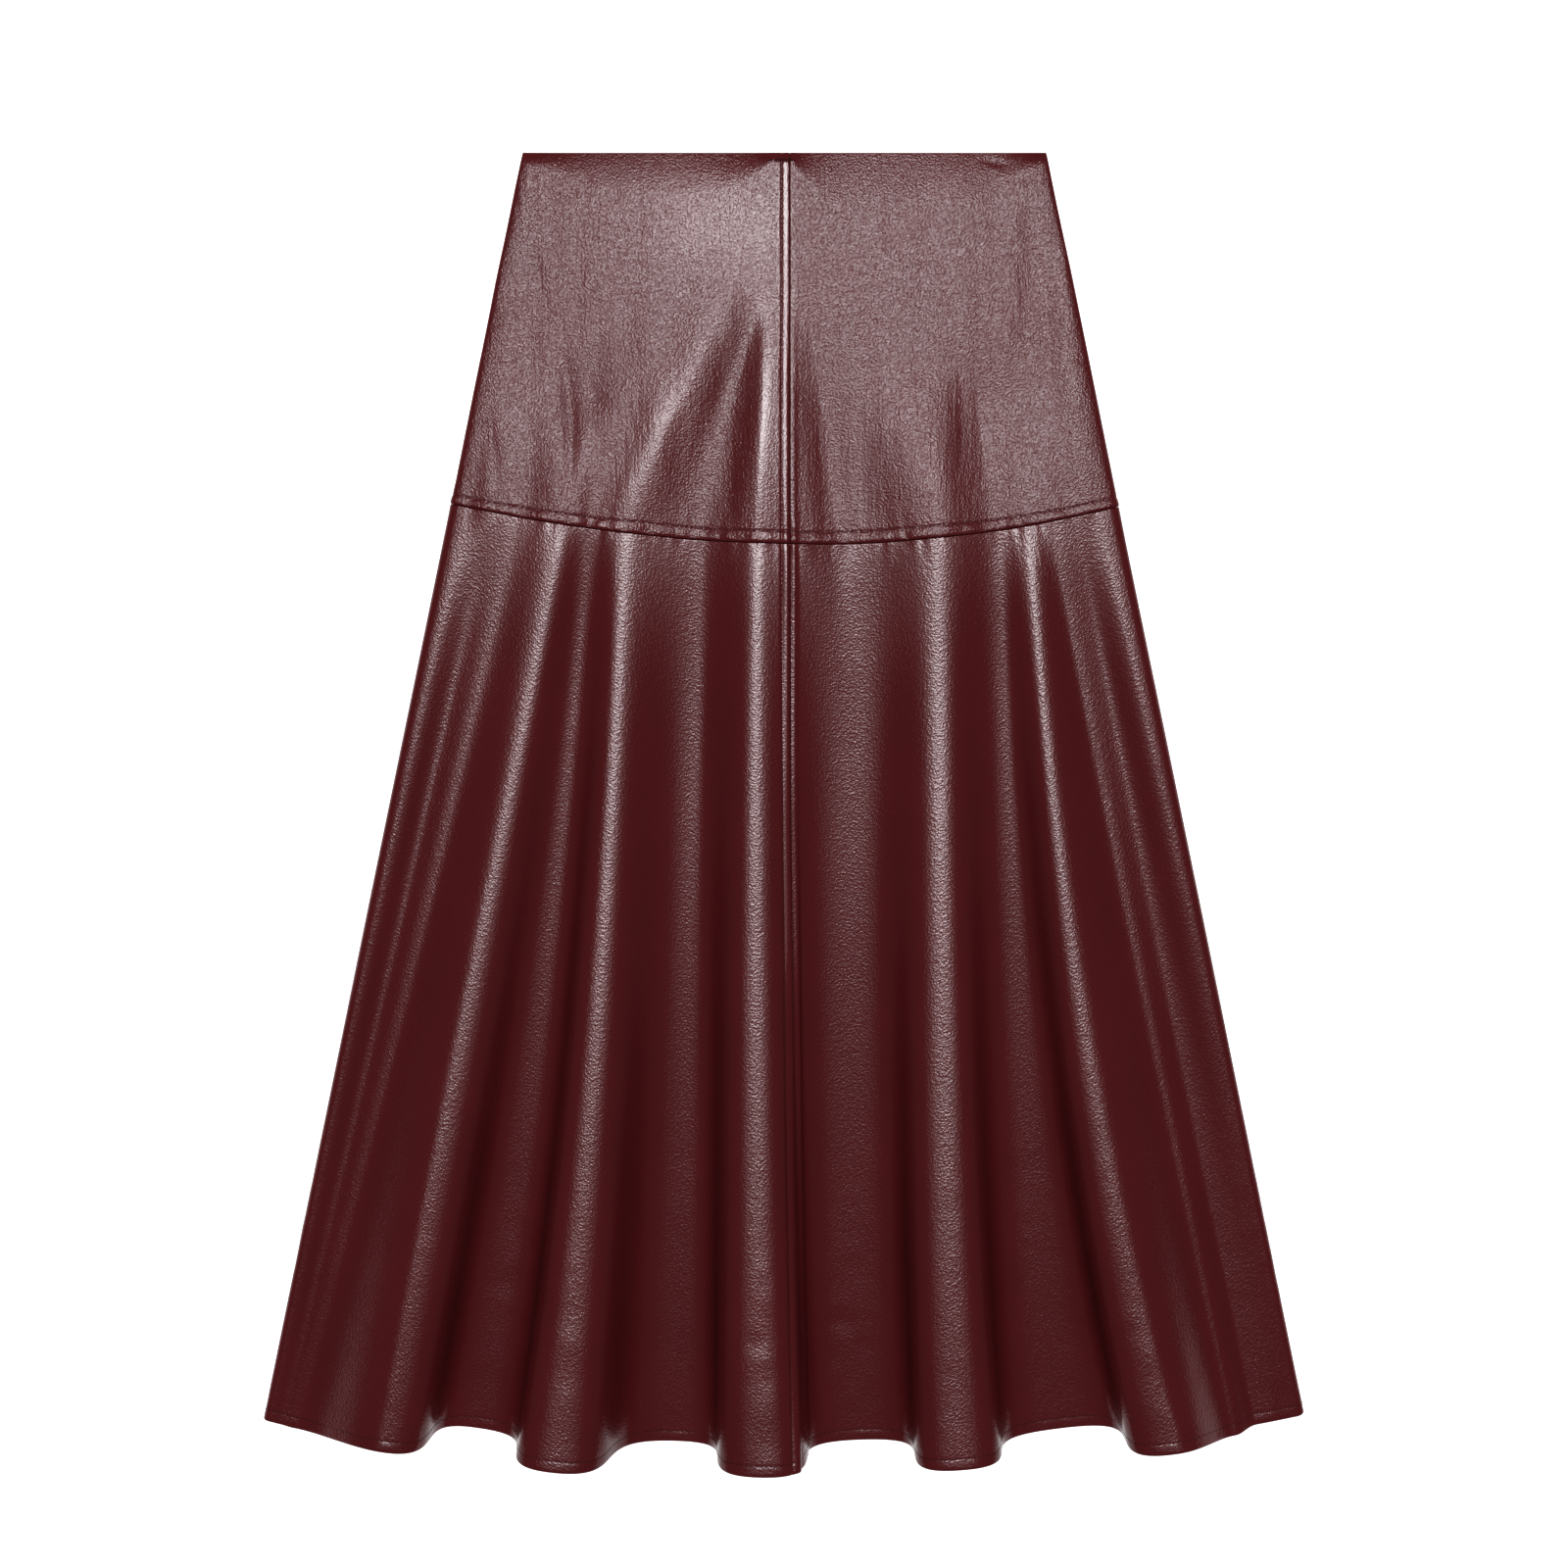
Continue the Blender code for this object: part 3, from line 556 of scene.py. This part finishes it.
def frontColumns(half, spacing, along, measuredAt):
    atEnd, atStart = seamEdge()
    edge = [halfGap] * len(atEnd[0])
    run = grid["yokeRun"] if measuredAt < 0 else grid["leftRun"] if half < 0 else grid["rightRun"]
    steps = max(4, round(run / 1000 / spacing))
    if half < 0:
        offsets = metres(grid["weltOffsets"])
        body = spansBetween(front, 0, centreFold - 1, measuredAt, spacing)
        body, out, down = sideColumns(front, body[body > grid["frontSkip"]], False)
        welt = centrePlaces(along, -np.concatenate([offsets, edge]))
        shares = np.linspace(0, 1, steps, endpoint=False)
        middle = between(centreFold - 1, welt[:, :1], shares[None, :])
        places = np.concatenate([np.repeat(body[None, :], len(along), 0), middle, welt], axis=1)
        flat = [0.0] * (len(shares) + len(offsets))
        return places, out + flat + atEnd[0], down + flat + atEnd[1]
    offsets = metres(grid["shoulderOffsets"])
    welt = centrePlaces(along, np.concatenate([edge, offsets]))
    shares = np.linspace(0, 1, steps + 1)[1:-1]
    middle = between(welt[:, -1:], centreFold + 1, shares[None, :])
    last = len(frontFolds) + 1
    body = spansBetween(front, centreFold + 1, last, measuredAt, spacing)
    body, out, down = sideColumns(front, body[body < last - grid["frontSkip"]], True)
    places = np.concatenate([welt, middle, np.repeat(body[None, :], len(along), 0)], axis=1)
    flat = [0.0] * (len(shares) + len(offsets))
    return places, atStart[0] + flat + out, atStart[1] + flat + down


def backColumns(spacing, along, measuredAt):
    last = len(backFolds) + 1
    atStart = seamEdge()[1]
    body = spansBetween(back, 0, last, measuredAt, spacing)
    body = body[(body > grid["backSkip"]) & (body < last - grid["backSkip"])]
    places, out, down = sideColumns(back, body, True)
    places = np.concatenate([np.zeros(len(atStart[0])), places])
    return np.repeat(places[None, :], len(along), 0), atStart[0] + out, atStart[1] + down


def skirtLevels(count):
    atStart = seamEdge()[1]
    hemOut, hemDown = tuckSteps(skirt["hemFold"], 180, 7, metres(grid["hemInside"]))
    top, hem = metres(grid["belowSeam"]), metres(grid["aboveHem"])
    body = np.linspace(top[-1] + 0.002, skirtLength - grid["hemStart"] / 1000, count)
    edge = np.full(len(atStart[0]), halfGap)
    distances = np.concatenate([edge, top, body, skirtLength - hem, np.full(len(hemOut), skirtLength)])
    flat = [0.0] * (len(top) + count + len(hem))
    return distances / skirtLength, atStart[0] + flat + hemOut, atStart[1] + flat + hemDown


def yokeLevels(count):
    tuckOut, tuckDown = tuckSteps(skirt["seamTuck"] + skirt["yokeTuckMore"], 90, grid["edgePoints"])
    waistOut, waistDown = tuckSteps(skirt["waistFold"], 180, 6, metres(grid["waistInside"]))
    waist, band = metres(grid["belowWaist"]), metres(grid["aboveSeam"])
    body = np.linspace(waist[-1] + 0.002, yokeLength - grid["bandStart"] / 1000, count)
    edge = np.full(len(tuckOut), yokeLength - halfGap)
    distances = np.concatenate([np.zeros(len(waistOut)), waist, body, yokeLength - band, edge])
    flat = [0.0] * (len(waist) + count + len(band))
    waistOut = [-value for value in waistOut[::-1]]
    return distances / yokeLength - 1, waistOut + flat + tuckOut, waistDown[::-1] + flat + tuckDown


def outerPoints(layer, place, along, reliefAt, half):
    middle = middlePoint(layer, place, along)
    normal, aside, forward = directionsAt(layer, place, along)
    across = sectionAt(layer, place, along)[0]
    height = reliefAt(across, along, middle[..., 0], middle[..., 1], half)
    return middle + normal * (skirt["outerSide"] + height)[..., None], normal, aside, forward


def sewSheet(name, layer, columns, levels, reliefAt, half, materials):
    along, levelOut, levelDown = levels
    places, columnOut, columnDown = columns
    alongs = np.repeat(np.array(along)[:, None], places.shape[1], 1)
    points, normal, aside, forward = outerPoints(layer, places, alongs, reliefAt, half)
    points = points + forward * np.array(levelOut)[:, None, None] + aside * np.array(columnOut)[None, :, None]
    points = points - normal * (np.array(levelDown)[:, None] + np.array(columnDown)[None, :])[..., None]
    levelCount, columnCount = places.shape
    spacing = np.linalg.norm(np.diff(points, axis=1), axis=2)
    arc = np.concatenate([np.zeros((levelCount, 1)), np.cumsum(spacing, axis=1)], axis=1)
    arc = arc - arc[:, -1:] if half < 0 else arc
    steps = np.linalg.norm(np.diff(points, axis=0), axis=2).mean(axis=1)
    down = np.concatenate([[0.0], np.cumsum(steps)])
    pull = tautness(points[..., 0], points[..., 1]) * (layer["side"] > 0)
    bm = bmesh.new()
    bmesh.ops.create_grid(bm, x_segments=columnCount - 1, y_segments=levelCount - 1, size=1.0)
    uv = bm.loops.layers.uv.new("cloth")
    taut = bm.verts.layers.float.new("taut")
    spots = {}
    for vert in bm.verts:
        column = round((vert.co.x + 1) / 2 * (columnCount - 1))
        level = round((1 - vert.co.y) / 2 * (levelCount - 1))
        spots[vert] = (level, column)
    for vert, spot in spots.items():
        vert.co = points[spot]
        vert[taut] = pull[spot]
    for face in bm.faces:
        for loop in face.loops:
            spot = spots[loop.vert]
            loop[uv].uv = (arc[spot], down[spot[0]])
    if layer["side"] < 0:
        bmesh.ops.reverse_faces(bm, faces=bm.faces[:])
    area = sum(face.calc_area() for face in bm.faces)
    mesh = bpy.data.meshes.new(name)
    bm.to_mesh(mesh)
    bm.free()
    mesh.shade_smooth()
    sheet = bpy.data.objects.new(name, mesh)
    bpy.context.scene.collection.objects.link(sheet)
    for material in materials:
        mesh.materials.append(material)
    shell = sheet.modifiers.new("leather thickness", "SOLIDIFY")
    shell.thickness = skirt["leather"]
    shell.offset = -1
    shell.material_offset = 1
    shell.material_offset_rim = 0
    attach(sheet, "root")
    print(f"{name}: {columnCount} x {levelCount} points, {area:.4f} square metres")
    return sheet


def nodeAt(tree, kind, **values):
    # a value goes to the input socket of that name, or else to the node itself
    node = tree.nodes.new(kind)
    for key, value in values.items():
        if key in node.inputs:
            node.inputs[key].default_value = value
        else:
            setattr(node, key, value)
    return node


leatherLook = {
    "colour": (0.157, 0.0222, 0.0258, 1.0),
    "darker": (0.132, 0.0182, 0.0216, 1.0),
    "tautGloss": 0.05,  # how much smoother the leather is where it is pulled tight
    "tautCalm": 0.7,  # and how much flatter its grain
    "roughnessSpread": 0.05,
    "specular": 0.5,
    "patchScale": 14.0,
    "patchFrom": 0.35,
    "patchTo": 0.65,
    "crinkleFloor": 0.35,
}
yokeLook = {
    "crinkleSize": (0.0030, 0.028),
    "crinkleDepth": 0.00032,
    "grainSize": 0.0011,
    "grainDepth": 0.00017,
    "roughness": 0.215,
}
drapedLook = {
    "crinkleSize": (0.010, 0.090),
    "crinkleDepth": 0.00008,
    "grainSize": 0.0013,
    "grainDepth": 0.000105,
    "roughness": 0.20,
}


def makeLeather(name, crinkleSize, crinkleDepth, grainSize, grainDepth, roughness):
    material = bpy.data.materials.new(name)
    material.use_nodes = True
    tree = material.node_tree
    link = tree.links.new
    shader = tree.nodes["Principled BSDF"]
    shader.inputs["Specular IOR Level"].default_value = leatherLook["specular"]
    cloth = nodeAt(tree, "ShaderNodeUVMap", uv_map="cloth")
    # a fine pebble grain: rounded cells and noise together
    grainCells = nodeAt(tree, "ShaderNodeTexVoronoi", feature="SMOOTH_F1", Scale=1 / grainSize,
                        Smoothness=0.6)
    grainNoise = nodeAt(tree, "ShaderNodeTexNoise", Scale=0.9 / grainSize, Detail=3.0, Roughness=0.6)
    link(cloth.outputs["UV"], grainCells.inputs["Vector"])
    link(cloth.outputs["UV"], grainNoise.inputs["Vector"])
    grain = nodeAt(tree, "ShaderNodeMath", operation="ADD")
    link(grainCells.outputs["Distance"], grain.inputs[0])
    link(grainNoise.outputs["Fac"], grain.inputs[1])
    # crinkles drawn out along the length, stronger in patches
    stretch = nodeAt(tree, "ShaderNodeMapping")
    stretch.inputs["Scale"].default_value = (1 / crinkleSize[0], 1 / crinkleSize[1], 1.0)
    link(cloth.outputs["UV"], stretch.inputs["Vector"])
    folds = nodeAt(tree, "ShaderNodeTexNoise", Scale=1.0, Detail=3.0, Roughness=0.55, Distortion=0.3)
    link(stretch.outputs["Vector"], folds.inputs["Vector"])
    patches = nodeAt(tree, "ShaderNodeTexNoise", Scale=leatherLook["patchScale"], Detail=2.0)
    link(cloth.outputs["UV"], patches.inputs["Vector"])
    mask = nodeAt(tree, "ShaderNodeMapRange")
    mask.inputs["From Min"].default_value = leatherLook["patchFrom"]
    mask.inputs["From Max"].default_value = leatherLook["patchTo"]
    mask.inputs["To Min"].default_value = leatherLook["crinkleFloor"]
    link(patches.outputs["Fac"], mask.inputs["Value"])
    crinkled = nodeAt(tree, "ShaderNodeMath", operation="MULTIPLY")
    link(folds.outputs["Fac"], crinkled.inputs[0])
    link(mask.outputs["Result"], crinkled.inputs[1])
    firstBump = nodeAt(tree, "ShaderNodeBump", Strength=1.0, Distance=crinkleDepth)
    link(crinkled.outputs["Value"], firstBump.inputs["Height"])
    secondBump = nodeAt(tree, "ShaderNodeBump", Strength=1.0, Distance=grainDepth)
    link(grain.outputs["Value"], secondBump.inputs["Height"])
    link(firstBump.outputs["Normal"], secondBump.inputs["Normal"])
    link(secondBump.outputs["Normal"], shader.inputs["Normal"])
    tone = nodeAt(tree, "ShaderNodeMix", data_type="RGBA")
    tone.inputs[6].default_value = leatherLook["darker"]  # sockets 6 and 7 are its two colours, 0 its share
    tone.inputs[7].default_value = leatherLook["colour"]
    link(patches.outputs["Fac"], tone.inputs[0])
    link(tone.outputs[2], shader.inputs["Base Color"])
    gloss = nodeAt(tree, "ShaderNodeMapRange")
    gloss.inputs["To Min"].default_value = roughness - leatherLook["roughnessSpread"]
    gloss.inputs["To Max"].default_value = roughness + leatherLook["roughnessSpread"]
    link(grainNoise.outputs["Fac"], gloss.inputs["Value"])
    # where it is pulled tight the leather is calmer and glossier
    stretched = nodeAt(tree, "ShaderNodeAttribute", attribute_name="taut")
    calmer = nodeAt(tree, "ShaderNodeMath", operation="MULTIPLY_ADD")
    calmer.inputs[1].default_value = -leatherLook["tautCalm"]
    calmer.inputs[2].default_value = 1.0
    link(stretched.outputs["Fac"], calmer.inputs[0])
    link(calmer.outputs["Value"], firstBump.inputs["Strength"])
    link(calmer.outputs["Value"], secondBump.inputs["Strength"])
    smoother = nodeAt(tree, "ShaderNodeMath", operation="MULTIPLY_ADD")
    smoother.inputs[1].default_value = -leatherLook["tautGloss"]
    link(stretched.outputs["Fac"], smoother.inputs[0])
    link(gloss.outputs["Result"], smoother.inputs[2])
    link(smoother.outputs["Value"], shader.inputs["Roughness"])
    return material


def makePlain(name, colour, roughness):
    material = bpy.data.materials.new(name)
    material.use_nodes = True
    shader = material.node_tree.nodes["Principled BSDF"]
    shader.inputs["Base Color"].default_value = colour
    shader.inputs["Roughness"].default_value = roughness
    return material


yokeLeather = makeLeather("crinkled yoke leather", **yokeLook)
skirtLeather = makeLeather("draped skirt leather", **drapedLook)
backing = makePlain("brushed cloth backing", (0.050, 0.010, 0.012, 1.0), 0.95)
thread = makePlain("dark red sewing thread", (0.040, 0.006, 0.008, 1.0), 0.55)
print("leathers, backing and thread mixed")

# The six sheets: spacing of the columns, count of the plain rows, and where along the length the spacing holds.
detail = {
    "yokeSpacing": 0.0013,
    "yokeRows": 120,
    "yokeMeasured": -0.35,
    "skirtSpacing": 0.00235,
    "skirtRows": 222,
    "skirtMeasured": 0.8,
    "backSpacing": 0.0042,
    "backYokeRows": 50,
    "backSkirtRows": 110,
}
yokeRows, skirtRows = yokeLevels(detail["yokeRows"]), skirtLevels(detail["skirtRows"])
backYokeRows, backSkirtRows = yokeLevels(detail["backYokeRows"]), skirtLevels(detail["backSkirtRows"])
yokeCloth, skirtCloth = (yokeLeather, backing), (skirtLeather, backing)

for half, side in ((-1, "Left"), (1, "Right")):
    columns = frontColumns(half, detail["yokeSpacing"], yokeRows[0], detail["yokeMeasured"])
    name = "frontYoke" + side + "Leather"
    sewSheet(name, front, columns, yokeRows, frontRelief, half, yokeCloth)
    columns = frontColumns(half, detail["skirtSpacing"], skirtRows[0], detail["skirtMeasured"])
    name = "frontSkirt" + side + "Leather"
    sewSheet(name, front, columns, skirtRows, frontRelief, half, skirtCloth)
columns = backColumns(detail["backSpacing"], backYokeRows[0], detail["yokeMeasured"])
sewSheet("backYokeLeather", back, columns, backYokeRows, backRelief, 1, yokeCloth)
columns = backColumns(detail["backSpacing"], backSkirtRows[0], detail["skirtMeasured"])
sewSheet("backSkirtLeather", back, columns, backSkirtRows, backRelief, 1, skirtCloth)

# Each piece's solid, the size and area that it was cut to, and what it rests on.
Cut = namedtuple("Cut", "node flat area rests")
cuts = {
    "yokeLeft": Cut("front_yoke_left", (0.222, 0.252), 0.046, ["back_yoke"]),
    "yokeRight": Cut("front_yoke_right", (0.222, 0.252), 0.046, ["back_yoke"]),
    "skirtLeft": Cut("front_skirt_left", (0.450, 0.620), 0.190, ["back_skirt"]),
    "skirtRight": Cut("front_skirt_right", (0.450, 0.620), 0.190, ["back_skirt"]),
    "yokeBack": Cut("back_yoke", (0.430, 0.250), 0.094, []),
    "skirtBack": Cut("back_skirt", (0.700, 0.620), 0.340, []),
}
for key, cut in cuts.items():
    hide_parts(cut.node)


# Sewing: single stitches along a line on the leather, each a short thread pressed into it.
stitch = {
    "pitch": 0.0031,
    "length": 0.0024,
    "thickness": 0.00042,
    "standsOut": 0.15,  # of its thickness
    "hemPoints": 3000,
    "nearCentreSeam": 0.0012,  # the lines across stop this far from it
}


def stitchLine(name, runs):
    bm = bmesh.new()
    count = 0
    long, thick = stitch["length"] / 2, stitch["thickness"] / 2
    size = Matrix.Diagonal((long, thick, thick, 1.0))
    lyingDown = Matrix.Rotation(math.pi / 2, 4, "Y")
    for points, normals in runs:
        steps = np.linalg.norm(np.diff(points, axis=0), axis=1)
        arc = np.concatenate([[0.0], np.cumsum(steps)])

        def at(distance, values):
            return Vector([np.interp(distance, arc, values[:, axis]) for axis in range(3)])

        for start in np.arange(stitch["pitch"] / 2, arc[-1], stitch["pitch"]):
            way = (at(start + long, points) - at(start - long, points)).normalized()
            aside = at(start, normals).normalized().cross(way).normalized()
            up = way.cross(aside)
            turn = Matrix((way, aside, up)).transposed().to_4x4()
            place = Matrix.Translation(at(start, points) + up * stitch["thickness"] * stitch["standsOut"])
            matrix = place @ turn @ size @ lyingDown
            bmesh.ops.create_uvsphere(bm, u_segments=6, v_segments=4, radius=1.0, matrix=matrix)
            count += 1
    mesh = bpy.data.meshes.new(name)
    bm.to_mesh(mesh)
    bm.free()
    mesh.shade_smooth()
    mesh.materials.append(thread)
    line = bpy.data.objects.new(name, mesh)
    bpy.context.scene.collection.objects.link(line)
    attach(line, "root")
    print(f"{name}: {count} stitches")
    return line


def lineAcross(layer, first, last, along, reliefAt, half, count=1600):
    place = np.linspace(first, last, count)
    alongs = along(sectionAt(layer, place, np.zeros(count))[0]) if callable(along) else np.full(count, along)
    points, normals, _, _ = outerPoints(layer, place, alongs, reliefAt, half)
    return points, normals


def lineDown(first, last, offset, count=500):
    along = np.linspace(first, last, count)
    place = centrePlaces(along, np.array([offset]))[:, 0]
    points, normals, _, _ = outerPoints(front, place, along, frontRelief, -1)
    return points, normals


def bandLine(across):
    return -bandWidth(across) / yokeLength


# Lines across end at places among the folds, lines down the centre seam at shares of the length.
frontEnd, backEnd = len(frontFolds) + 1, len(backFolds) + 1
besideSeam = np.array([-stitch["nearCentreSeam"], stitch["nearCentreSeam"]])
seamPlace = centrePlaces(np.array([-0.04]), besideSeam)[0]
hemPlace = centrePlaces(np.array([0.99]), besideSeam)[0]
hemAlong = 1 - skirt["hemTurnUp"] / skirtLength
bandAlong = -relief["yokeBand"] / yokeLength
hemPoints = stitch["hemPoints"]
yokeStitches = stitchLine("yokeSeamStitches", [
    lineAcross(front, 0.35, seamPlace[0], bandLine, frontRelief, -1),
    lineAcross(front, seamPlace[1], frontEnd - 0.75, bandLine, frontRelief, 1),
])
centreStitches = stitchLine("centreSeamStitches", [
    lineDown(-0.985, bandAlong - 0.012, -relief["centreBand"]),
    lineDown(0.006, 0.984, -relief["centreBand"]),
])
hemStitches = stitchLine("frontHemStitches", [
    lineAcross(front, 0.2, hemPlace[0], hemAlong, frontRelief, -1, hemPoints),
    lineAcross(front, hemPlace[1], frontEnd - 0.2, hemAlong, frontRelief, 1, hemPoints),
])
backStitches = stitchLine("backStitches", [
    lineAcross(back, 0.5, backEnd - 0.5, bandAlong, backRelief, 1),
    lineAcross(back, 0.5, backEnd - 0.5, hemAlong, backRelief, 1, hemPoints),
])

# Floor, lights and camera
studio = {
    "floorReach": 25.0,
    "floorGrey": (0.6, 0.6, 0.6, 1.0),
    "floorDrop": 0.0002,
    "floorGlow": 1.0,
    "worldLight": 0.17,
    "keyPower": 365.0,
    "keySize": (2.9, 1.75),
    "keyPlace": (0.0, 2.10, 8.0),
    "keyColour": (0.95, 0.98, 1.0),
    "haloPower": 125.0,
    "haloSize": (7.0, 3.4),
    "haloPlace": (0.0, 1.3, 8.2),
    "lampTarget": (0.0, 0.1, 0.0),
    "fillPower": 16.0,
    "fillSize": (3.0, 3.0),
    "fillPlace": (0.0, 0.6, 3.0),
    "gamma": 0.715,
    "cameraHeight": 1.9,
    "cameraSide": -0.0003,
    "viewWidth": 0.99776,  # what the camera takes in at this height above the table:
    "viewHeight": 0.0035,
    "frameSize": 1600,  # in pixels, and the row where the waist's edge comes
    "waistRow": 156.5,
}
bm = bmesh.new()
bmesh.ops.create_grid(bm, x_segments=1, y_segments=1, size=studio["floorReach"])
floorMesh = bpy.data.meshes.new("lightTable")
bm.to_mesh(floorMesh)
bm.free()
for vert in floorMesh.vertices:
    vert.co.z = -studio["floorDrop"]
floorMaterial = makePlain("white light table", studio["floorGrey"], 0.8)
floorShader = floorMaterial.node_tree.nodes["Principled BSDF"]
floorShader.inputs["Specular IOR Level"].default_value = 0.0
floorShader.inputs["Emission Color"].default_value = (1.0, 1.0, 1.0, 1.0)
floorShader.inputs["Emission Strength"].default_value = studio["floorGlow"]
floorMesh.materials.append(floorMaterial)
floor = bpy.data.objects.new("lightTable", floorMesh)
bpy.context.scene.collection.objects.link(floor)

world = bpy.data.worlds.new("soft studio")
bpy.context.scene.world = world
world.use_nodes = True
sky = world.node_tree.nodes["Background"]
sky.inputs["Color"].default_value = (1.0, 1.0, 1.0, 1.0)
sky.inputs["Strength"].default_value = studio["worldLight"]


def softbox(name, place, target, size, power):
    light = bpy.data.lights.new(name, "AREA")
    light.shape = "RECTANGLE"
    light.size, light.size_y = size
    light.energy = power
    lamp = bpy.data.objects.new(name, light)
    lamp.location = place
    lamp.rotation_euler = (Vector(target) - Vector(place)).to_track_quat("-Z", "Y").to_euler()
    bpy.context.scene.collection.objects.link(lamp)
    return lamp


target = studio["lampTarget"]
keyLamp = softbox("key softbox", studio["keyPlace"], target, studio["keySize"], studio["keyPower"])
keyLamp.data.color = studio["keyColour"]
softbox("halo softbox", studio["haloPlace"], target, studio["haloSize"], studio["haloPower"])
fill = softbox("broad fill", studio["fillPlace"], (0.0, 0.0, 0.0), studio["fillSize"], studio["fillPower"])
fill.visible_glossy = False

camera = bpy.data.cameras.new("camera above")
cameraObject = bpy.data.objects.new("camera above", camera)
waistToMiddle = studio["frameSize"] / 2 - studio["waistRow"]
viewMiddle = waistY - waistToMiddle * studio["viewWidth"] / studio["frameSize"]
cameraObject.location = (studio["cameraSide"], viewMiddle, studio["cameraHeight"])
camera.sensor_width = 36
camera.angle = 2 * math.atan(studio["viewWidth"] / 2 / (studio["cameraHeight"] - studio["viewHeight"]))
bpy.context.scene.collection.objects.link(cameraObject)
bpy.context.scene.camera = cameraObject
bpy.context.scene.view_settings.view_transform = "Standard"
bpy.context.scene.view_settings.gamma = studio["gamma"]

print("floor, lights and camera set")

bpy.context.view_layer.update()
